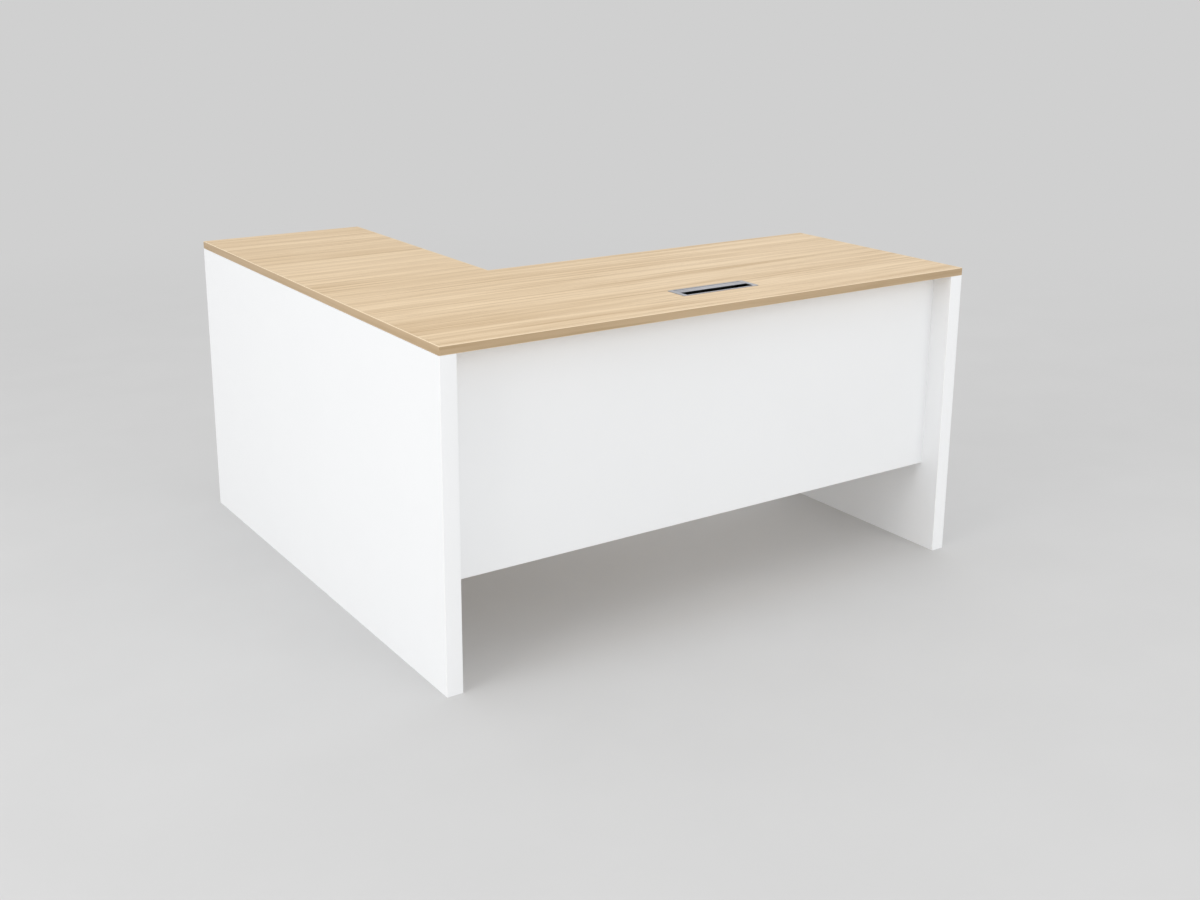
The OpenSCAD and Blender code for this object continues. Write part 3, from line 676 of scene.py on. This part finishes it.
def start_sheet(name, low, high, z):
    """Flat rectangle between two corners at height z."""
    middle = ((low[X] + high[X]) / 2, (low[Y] + high[Y]) / 2, z)
    bpy.ops.mesh.primitive_plane_add(size=1.0, location=middle)
    bpy.context.object.scale = (high[X] - low[X], high[Y] - low[Y], 1.0)
    return settle(name)


def start_rod(name, radius, start, end, sides):
    """Cylinder from one point to another."""
    start, end = Vector(start), Vector(end)
    along = end - start
    bpy.ops.mesh.primitive_cylinder_add(
        vertices=sides, radius=radius, depth=along.length,
        location=(start + end) / 2, rotation=along.to_track_quat("Z", "Y").to_euler(),
    )
    return settle(name)


def copy_of(piece, name, matrix=Matrix.Identity(4)):
    """Copy of a piece with its own mesh, moved by a matrix."""
    select_only(piece)
    bpy.ops.object.duplicate()
    bpy.context.object.matrix_world = matrix
    return settle(name)


def join(name, *pieces):
    """Joins pieces into one of that name."""
    select_only(*pieces)
    bpy.ops.object.join()
    return settle(name)


def discard(piece):
    """Removes a piece that was only a step to others."""
    select_only(piece)
    bpy.ops.object.delete()


def apply_modifier(piece, kind, **settings):
    """Puts a modifier on a piece and applies it."""
    select_only(piece)
    modifier = piece.modifiers.new(kind.lower(), kind)
    for name, value in settings.items():
        setattr(modifier, name, value)
    bpy.ops.object.modifier_apply(modifier=modifier.name)


def combine(piece, other, operation):
    """Unites a piece with another shape, or cuts the shape out of it."""
    apply_modifier(piece, "BOOLEAN", operation=operation, object=other, solver="EXACT")
    if not piece.data.polygons:
        raise RuntimeError(f"{piece.name} came to nothing")
    discard(other)


def hand_over(piece, node, material):
    """Shades a finished piece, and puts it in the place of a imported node."""
    select_only(piece)
    bpy.ops.object.shade_smooth_by_angle(angle=SMOOTH_ANGLE)
    piece.data.materials.clear()
    piece.data.materials.append(material)
    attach(piece, frame["nodes"][node]["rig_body"])
    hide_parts(node)


def middle_of(node):
    """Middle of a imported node's box."""
    low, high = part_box(node)
    return (low + high) / 2


def tape_strip(name, low, high, axis, outward, sizes):
    """Straight strip of edging: rounded on its outer side, with a fine chamfer along the board."""
    piece = start_box(name, low, high)
    run = max(range(3), key=lambda i: high[i] - low[i])
    inner, outer = (low[axis], high[axis]) if outward > 0 else (high[axis], low[axis])
    with editing(piece):
        pick("EDGE", lambda edge: runs_along(edge, run) and lies_at(edge, axis, outer))
        bevel(sizes.arris, ARRIS_SEGMENTS)
        pick("EDGE", lambda edge: runs_along(edge, run) and lies_at(edge, axis, inner))
        bevel(sizes.glue_line)
    return piece


class DESK_OT_boards(Operator):
    """Give the worktop its oak look, and the panels their white finish"""

    bl_idname = "desk.boards"
    bl_label = "Boards"

    def execute(self, context):
        dress(oak_melamine, "worktop_board")
        dress(white_melamine, "left_side_panel", "right_side_panel", "modesty_panel", "return_end_panel")
        return {"FINISHED"}


class DESK_OT_worktop_edging(Operator):
    """Model the band of edging round the worktop and cut it at its mitres into six strips"""

    bl_idname = "desk.worktop_edging"
    bl_label = "Worktop edging"

    def execute(self, context):
        sizes = context.scene.desk_sizes
        low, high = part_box("worktop_edging_front")
        inner = Vector((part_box("worktop_edging_return")[1].x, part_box("worktop_edging_user")[1].y, low.z))
        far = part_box("worktop_edging_left")[1].y
        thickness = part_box("worktop_board")[0].x - low.x
        band = self.band(low, high, inner, far, thickness, sizes)
        outline = (low.xy, (high.x, low.y), (high.x, inner.y), inner.xy, (inner.x, far), (low.x, far))
        corners = [Vector((*place, low.z)) for place in outline]
        tapes = (finish(oak_tape, "_along", 0.0), finish(oak_tape, "_across", math.pi / 2))
        for number, side in enumerate(("front", "right", "user", "return", "end", "left")):
            start, end = corners[number], corners[(number + 1) % len(corners)]
            start_bend, end_bend = (-1.0 if corner == inner else 1.0 for corner in (start, end))
            along = (end - start).normalized()
            inwards = Vector((-along.y, along.x, 0.0))
            strip = copy_of(band, "worktop_tape_" + side)
            with editing(strip):
                cut(start + inwards * (thickness + sizes.arris), inwards, keep_low=True)
                cut(start, along - inwards * start_bend, keep_high=True)
                cut(end, along + inwards * end_bend, keep_low=True)
            hand_over(strip, "worktop_edging_" + side, tapes[number % len(tapes)])
        discard(band)
        return {"FINISHED"}

    @staticmethod
    def band(low, high, inner, far, thickness, sizes):
        """Band round the worktop, rounded on its outer corners and chamfered along the board."""

        def on_outline(vertex):
            """True if a vertex lies on the outline, seen from above."""
            x, y = vertex.co.xy
            return (
                min(abs(x - low.x), abs(x - high.x), abs(y - low.y), abs(y - far)) < NEAR
                or (abs(y - inner.y) < NEAR and x > inner.x - NEAR)
                or (abs(x - inner.x) < NEAR and y > inner.y - NEAR)
            )

        def on_return(edge):
            """True if the return starts from an edge."""
            return lies_at(edge, Y, inner.y) and all(vertex.co.x < inner.x + NEAR for vertex in edge.verts)

        def outer(edge):
            """True if an edge lies on the outline, but not upright at the inner corner."""
            at_inner = lies_at(edge, X, inner.x) and lies_at(edge, Y, inner.y)
            return all(on_outline(vertex) for vertex in edge.verts) and not at_inner

        def glued(edge):
            """True if an edge lies inside the outline, at the band's upper or lower face."""
            level = lies_at(edge, Z, low.z) or lies_at(edge, Z, high.z)
            return level and not any(on_outline(vertex) for vertex in edge.verts)

        band = start_sheet("worktop_band", low, (high.x, inner.y), low.z)
        with editing(band):
            cut((inner.x, 0.0, 0.0), (1.0, 0.0, 0.0))
            pick("EDGE", on_return)
            extrude(y=far - inner.y)
            pick_all()
            bpy.ops.mesh.inset(thickness=thickness)
            bpy.ops.mesh.delete(type="FACE")
            pick_all()
            extrude(z=high.z - low.z)
            face_outwards()
            pick("EDGE", outer)
            bevel(sizes.arris, ARRIS_SEGMENTS)
            pick("EDGE", glued)
            bevel(sizes.glue_line)
        return band


class DESK_OT_panel_edging(Operator):
    """Model the white edging of the panels"""

    bl_idname = "desk.panel_edging"
    bl_label = "Panel edging"

    def execute(self, context):
        sizes = context.scene.desk_sizes
        for side in ("left", "right"):
            node, name = side + "_panel_edging", side + "_panel_tape"
            low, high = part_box(node)
            front, rear = (corner.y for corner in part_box(side + "_side_panel"))
            near = tape_strip(name, low, (high.x, front, high.z), Y, -1, sizes)
            away = tape_strip(name + "_rear", (low.x, rear, low.z), high, Y, 1, sizes)
            material = finish(white_tape, "_" + side, X, low, high)
            hand_over(join(name, near, away), node, material)
        for panel, tape, axis, outward in (("modesty", "modesty", Z, -1), ("end_panel", "end", X, 1)):
            node, name = panel + "_edging", panel + "_tape"
            low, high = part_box(node)
            material = finish(white_tape, "_" + tape, Y, low, high)
            hand_over(tape_strip(name, low, high, axis, outward, sizes), node, material)
        return {"FINISHED"}


class DESK_OT_fittings(Operator):
    """Give the cam fittings, dowels, pins, screws and inserts their finish"""

    bl_idname = "desk.fittings"
    bl_label = "Fittings"

    def execute(self, context):
        joints = ("worktop", "modesty", "end_panel")
        steel = [joint + "_cam_" + kind for joint in joints for kind in ("bolts", "locks")]
        dress(zinc_plated_steel, *steel, "outlet_hinge_pins", "outlet_screws", "levelling_inserts")
        dress(beech_wood, *(joint + "_dowels" for joint in joints))
        return {"FINISHED"}


class DESK_OT_cover_caps(Operator):
    """Model one cover cap and copy it over every cam lock"""

    bl_idname = "desk.cover_caps"
    bl_label = "Cover caps"

    def execute(self, context):
        sizes = context.scene.desk_sizes
        cap = start_rod("cover_cap", sizes.cap_radius, (0, 0, 0), (0, 0, sizes.cap_thickness), CAP_SIDES)
        with editing(cap):
            pick("EDGE", is_rim)
            bevel(sizes.cap_round, ARRIS_SEGMENTS)
            pick("FACE", lambda face: face.normal.z < -LEVEL)
            bpy.ops.mesh.inset(thickness=sizes.cap_radius - sizes.spigot_radius)
            extrude(z=-sizes.spigot_depth)
        caps = [copy_of(cap, "cover_cap_place", matrix) for matrix in self.places(sizes)]
        discard(cap)
        hand_over(join("cover_caps", *caps), "cam_cover_caps", finish(white_moulded))
        return {"FINISHED"}

    def places(self, sizes):
        """For each packed cap, a matrix that starts on the board's face, with +Z out of it."""
        mesh = bmesh.new()
        mesh.from_mesh(frame["nodes"]["cam_cover_caps"].data)
        bmesh.ops.remove_doubles(mesh, verts=mesh.verts, dist=NEAR)
        left = dict.fromkeys(mesh.verts)
        matrices = []
        while left:
            points = [vertex.co for vertex in self.island(left)]
            low, high = (Vector([end(values) for values in zip(*points)]) for end in (min, max))
            axis = min(range(3), key=lambda i: high[i] - low[i])
            middle, thickness = (low + high) / 2, high[axis] - low[axis]
            head = (point - middle for point in points if self.is_head(point, middle, axis, sizes))
            direction = Vector()
            direction[axis] = math.copysign(1.0, sum(step[axis] for step in head))
            face = middle + direction * (thickness / 2 - sizes.cap_thickness)
            turn = direction.to_track_quat("Z", "Y").to_matrix().to_4x4()
            matrices.append(Matrix.Translation(face) @ turn)
        mesh.free()
        return matrices

    @staticmethod
    def island(left):
        """Takes one connected island of vertices out of those left."""
        island = [left.popitem()[0]]
        for vertex in island:
            for edge in vertex.link_edges:
                other = edge.other_vert(vertex)
                if other in left:
                    del left[other]
                    island.append(other)
        return island

    @staticmethod
    def is_head(point, middle, axis, sizes):
        """True if a point lies on a cap's head, which is wider than its spigot."""
        step = point - middle
        step[axis] = 0.0
        return step.length > sizes.spigot_radius + NEAR


class DESK_OT_outlet_frame(Operator):
    """Model the cable outlet's aluminium frame, with its mouth, rounded corners and pegs"""

    bl_idname = "desk.outlet_frame"
    bl_label = "Outlet frame"

    def execute(self, context):
        sizes = context.scene.desk_sizes
        low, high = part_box("outlet_frame")
        mouth_low, mouth_high = self.mouth(low, sizes)
        middle, top = (mouth_low + mouth_high) / 2, mouth_low.z
        trim = start_sheet("outlet_trim", low, high, top)
        with editing(trim):
            for corner in (mouth_low, mouth_high):
                cut(corner, (1.0, 0.0, 0.0))
                cut(corner, (0.0, 1.0, 0.0))
            pick("FACE", lambda face: (face.calc_center_median() - middle).length < NEAR)
            bpy.ops.mesh.delete(type="FACE")
            pick_all()
            extrude(z=high.z - top)
            face_outwards()
            pick("EDGE", lambda edge: at_corners(edge, low, high))
            bevel(sizes.frame_corner, CORNER_SEGMENTS)
            pick("EDGE", lambda edge: at_corners(edge, mouth_low, mouth_high))
            bevel(sizes.mouth_corner, MOUTH_SEGMENTS)
            pick("EDGE", is_rim)
            bevel(sizes.frame_arris, RIM_SEGMENTS)
        for x in (low.x + sizes.peg_inset, high.x - sizes.peg_inset):
            foot, root = (x, middle.y, low.z), (x, middle.y, (top + high.z) / 2)
            combine(trim, start_rod("peg", sizes.peg_radius, foot, root, PEG_SIDES), "UNION")
        hand_over(trim, "outlet_frame", finish(brushed_aluminium))
        return {"FINISHED"}

    @staticmethod
    def mouth(frame_low, sizes):
        """Lowest and highest corner of the outlet's mouth, at the worktop's upper face."""
        lid_low, lid_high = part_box("outlet_lid")
        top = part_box("worktop_board")[1].z
        front, rear = frame_low.y + sizes.mouth_border, lid_high.y + sizes.mouth_gap_hinge
        ends = Vector((sizes.mouth_gap_ends, 0.0, 0.0))
        return Vector((lid_low.x, front, top)) - ends, Vector((lid_high.x, rear, top)) + ends


class DESK_OT_outlet_lid(Operator):
    """Model the cable outlet's lid, with its tapered front, hinge barrel and pin holes"""

    bl_idname = "desk.outlet_lid"
    bl_label = "Outlet lid"

    def execute(self, context):
        sizes = context.scene.desk_sizes
        low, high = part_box("outlet_lid")
        hinge = next(Vector(joint["pos_m"]) for joint in frame["joints"] if joint["child"] == "outlet_lid")
        under = high.z - sizes.lid_thickness

        def at_rim(edge):
            """True if an edge bounds the lid's front or one of its ends."""
            return lies_at(edge, Y, low.y) or lies_at(edge, X, low.x) or lies_at(edge, X, high.x)

        lid = start_box("outlet_flap", (low.x, low.y, under), (high.x, hinge.y, high.z))
        with editing(lid):
            cut((0.0, low.y + sizes.lid_taper, 0.0), (0.0, 1.0, 0.0))
            pick("EDGE", lambda edge: lies_at(edge, Y, low.y) and lies_at(edge, Z, under))
            bpy.ops.transform.translate(value=(0.0, 0.0, sizes.lid_thickness - sizes.lid_edge))
            pick("EDGE", lambda edge: at_rim(edge) and not lies_at(edge, Y, hinge.y))
            bevel(sizes.lid_arris, LID_SEGMENTS)
        start, stop = (low.x, hinge.y, hinge.z), (high.x, hinge.y, hinge.z)
        barrel = start_rod("barrel", high.y - hinge.y, start, stop, BARREL_SIDES)
        with editing(barrel):
            pick("EDGE", at_rim)
            bevel(sizes.lid_arris, LID_SEGMENTS)
        combine(lid, barrel, "UNION")
        for end, reach in ((low.x, 1.0), (high.x, -1.0)):
            start = (end - reach * sizes.pin_bore, hinge.y, hinge.z)
            stop = (end + reach * sizes.pin_bore_depth, hinge.y, hinge.z)
            combine(lid, start_rod("pin_bore", sizes.pin_bore, start, stop, BORE_SIDES), "DIFFERENCE")
        hand_over(lid, "outlet_lid", finish(brushed_aluminium))
        return {"FINISHED"}


class DESK_OT_outlet_liner(Operator):
    """Give the cable outlet's liner its moulded black finish"""

    bl_idname = "desk.outlet_liner"
    bl_label = "Outlet liner"

    def execute(self, context):
        dress(black_moulded, "outlet_liner")
        return {"FINISHED"}


class DESK_OT_levelling_feet(Operator):
    """Model one levelling foot's pad and threaded stud and copy them to every foot"""

    bl_idname = "desk.levelling_feet"
    bl_label = "Levelling feet"

    def execute(self, context):
        sizes = context.scene.desk_sizes
        feet = sorted(name for name in frame["bodies"] if name.endswith("_foot"))
        pad, stud = self.pad(feet[0], sizes), self.stud(feet[0], sizes)
        home = middle_of(feet[0] + "_pad")
        for foot in feet:
            move = Matrix.Translation(middle_of(foot + "_pad") - home)
            disc, screw = copy_of(pad, foot + "_disc", move), copy_of(stud, foot + "_screw", move)
            hand_over(disc, foot + "_pad", finish(black_moulded))
            hand_over(screw, foot + "_stud", finish(zinc_plated_steel))
        discard(pad)
        discard(stud)
        return {"FINISHED"}

    @staticmethod
    def pad(foot, sizes):
        """Pad with a hollow under it, a hexagon on it and a socket in it for the stud."""
        low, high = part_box(foot + "_pad")
        middle, radius = (low + high) / 2, (high.x - low.x) / 2
        top = high.z - sizes.hexagon_height
        x, y = middle.x, middle.y
        pad = start_rod("pad", radius, (x, y, low.z), (x, y, top), DISC_SIDES)
        with editing(pad):
            pick("EDGE", lambda edge: is_rim(edge) or is_rim(edge, -1))
            bevel(sizes.pad_round, RIM_SEGMENTS)
            pick("FACE", lambda face: face.normal.z < -LEVEL and lies_at(face, Z, low.z))
            bpy.ops.mesh.inset(thickness=sizes.pad_rim)
            extrude(z=sizes.pad_hollow)
        hexagon = start_rod("hexagon", sizes.hexagon_radius, (x, y, middle.z), (x, y, high.z), 6)
        with editing(hexagon):
            pick("EDGE", is_rim)
            bevel(sizes.hexagon_round, HEXAGON_SEGMENTS)
        combine(pad, hexagon, "UNION")
        stud_low, stud_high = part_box(foot + "_stud")
        room = (stud_high.x - stud_low.x) / 2 + sizes.socket_play
        start, stop = (x, y, low.z + sizes.socket_depth), (x, y, stud_high.z)
        combine(pad, start_rod("socket", room, start, stop, SOCKET_SIDES), "DIFFERENCE")
        return pad

    @staticmethod
    def stud(foot, sizes):
        """Threaded rod: one turn of the thread's outline wound up the stud, and its ends cut square."""
        low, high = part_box(foot + "_stud")
        middle, radius = (low + high) / 2, (high.x - low.x) / 2
        pitch, depth = sizes.thread_pitch, sizes.thread_depth
        flat = pitch * THREAD_FLAT
        slope = (pitch - 2 * flat) / 2
        turns = math.ceil((high.z - low.z) / pitch) + SPARE_TURNS
        root = (radius - depth, 0.0, low.z - LEAD_IN * pitch)
        bpy.ops.mesh.primitive_plane_add(size=depth, location=root)
        stud = settle("stud")
        with editing(stud):
            bpy.ops.mesh.select_mode(type="VERT")
            pick_all()
            bpy.ops.mesh.merge(type="CENTER")
            for across, up in ((0.0, flat), (depth, slope), (0.0, flat), (-depth, slope)):
                extrude(x=across, z=up)
        winding = {"screw_offset": pitch, "iterations": turns, "use_merge_vertices": True}
        apply_modifier(stud, "SCREW", steps=THREAD_SIDES, render_steps=THREAD_SIDES, **winding)
        with editing(stud):
            pick_all()
            bpy.ops.mesh.remove_doubles(threshold=NEAR)
            cut((0.0, 0.0, low.z), (0.0, 0.0, 1.0), keep_high=True)
            cut((0.0, 0.0, high.z), (0.0, 0.0, 1.0), keep_low=True)
        stud.matrix_world = Matrix.Translation((middle.x, middle.y, 0.0))
        select_only(stud)
        return settle("stud")


class DESK_OT_stage(Operator):
    """Make the floor, the background, the lamps and the camera"""

    bl_idname = "desk.stage"
    bl_label = "Stage"

    def execute(self, context):
        stage, paint = context.scene.desk_stage, context.scene.desk_colours.floor
        context.scene.view_settings.view_transform = "Standard"
        self.floor(stage, paint)
        self.background(stage, paint)
        desk = (cad_box[0] + cad_box[1]) / 2
        for name, (place, size) in LAMPS.items():
            self.lamp(name, getattr(stage, name), place, size, desk)
        self.camera(context, stage)
        return {"FINISHED"}

    @staticmethod
    def shown_rays(nodes):
        """1 for rays that show the background as it is: the camera's, and those in metal and glass."""
        path = nodes.add("ShaderNodeLightPath").outputs
        rays = nodes.math("MAXIMUM", path["Is Camera Ray"], path["Is Glossy Ray"])
        return nodes.math("MAXIMUM", rays, path["Is Transmission Ray"])

    def floor(self, stage, paint):
        """Round floor that blends into the background away from the desk."""
        bpy.ops.mesh.primitive_circle_add(vertices=DISC_SIDES, radius=stage.floor_reach, fill_type="NGON")
        floor = settle("floor")
        material = finish(plain_floor)
        tree = material.node_tree
        nodes = NodeMaker(tree)
        away = nodes.add("ShaderNodeVectorMath", {0: nodes.place()}, operation="LENGTH").outputs["Value"]
        beyond = nodes.remap(away, stage.floor_near, stage.floor_far)
        blend = nodes.math("MULTIPLY", beyond, self.shown_rays(nodes))
        glow = nodes.add("ShaderNodeEmission", {"Color": paint}).outputs[0]
        mixed = nodes.mix_shaders(blend, tree.nodes["Principled BSDF"].outputs[0], glow)
        nodes.fill(tree.nodes["Material Output"], {"Surface": mixed})
        floor.data.materials.append(material)

    def background(self, stage, paint):
        """Even light from all round, which shows as a plain pale background."""
        world = bpy.data.worlds.new("studio")
        bpy.context.scene.world = world
        world.use_nodes = True
        world.node_tree.nodes.clear()
        nodes = NodeMaker(world.node_tree)
        light = nodes.add("ShaderNodeBackground", {"Color": WHITE, "Strength": stage.sky}).outputs[0]
        shown = nodes.add("ShaderNodeBackground", {"Color": paint}).outputs[0]
        mixed = nodes.mix_shaders(self.shown_rays(nodes), light, shown)
        nodes.add("ShaderNodeOutputWorld", {"Surface": mixed})

    @staticmethod
    def lamp(name, power, place, size, target):
        """Square soft lamp aimed at a point."""
        bpy.ops.object.light_add(type="AREA", location=place)
        lamp = bpy.context.object
        lamp.name = lamp.data.name = name
        lamp.rotation_euler = (Vector(target) - Vector(place)).to_track_quat("-Z", "Y").to_euler()
        lamp.data.energy = power
        lamp.data.shape = "SQUARE"
        lamp.data.size = size

    @staticmethod
    def camera(context, stage):
        """Camera at the photograph's viewing angle."""
        bpy.ops.object.camera_add(location=stage.camera_place)
        camera = context.object
        aim = Euler((math.pi / 2 - stage.camera_dip, 0.0, -stage.camera_heading)).to_matrix()
        camera.rotation_euler = (aim @ Matrix.Rotation(stage.camera_roll, 3, "Z")).to_euler()
        camera.data.lens = stage.lens
        camera.data.shift_x = stage.shift_across
        camera.data.shift_y = stage.shift_up
        context.scene.camera = camera


STEPS = (
    DESK_OT_boards,
    DESK_OT_worktop_edging,
    DESK_OT_panel_edging,
    DESK_OT_fittings,
    DESK_OT_cover_caps,
    DESK_OT_outlet_frame,
    DESK_OT_outlet_lid,
    DESK_OT_outlet_liner,
    DESK_OT_levelling_feet,
    DESK_OT_stage,
)
GROUPS = {"desk_sizes": DeskSizes, "desk_colours": DeskColours, "desk_stage": DeskStage}


class DESK_PT_pieces(Panel):
    """Lists the steps that make the desk's pieces"""

    bl_idname = "DESK_PT_pieces"
    bl_label = "Corner desk"
    bl_space_type = "VIEW_3D"
    bl_region_type = "UI"
    bl_category = "Desk"

    def draw(self, context):
        for step in STEPS:
            self.layout.operator(step.bl_idname)


def register():
    """Registers the property groups, the steps and the panel."""
    for name, group in GROUPS.items():
        bpy.utils.register_class(group)
        setattr(Scene, name, PointerProperty(type=group))
    for step in (*STEPS, DESK_PT_pieces):
        bpy.utils.register_class(step)


def unregister():
    """Takes back what register did."""
    for step in (DESK_PT_pieces, *reversed(STEPS)):
        bpy.utils.unregister_class(step)
    for name, group in GROUPS.items():
        delattr(Scene, name)
        bpy.utils.unregister_class(group)


def main():
    """Makes every piece, in order."""
    register()
    for step in STEPS:
        getattr(bpy.ops.desk, step.bl_idname.split(".")[1])()


if __name__ == "__main__":
    main()
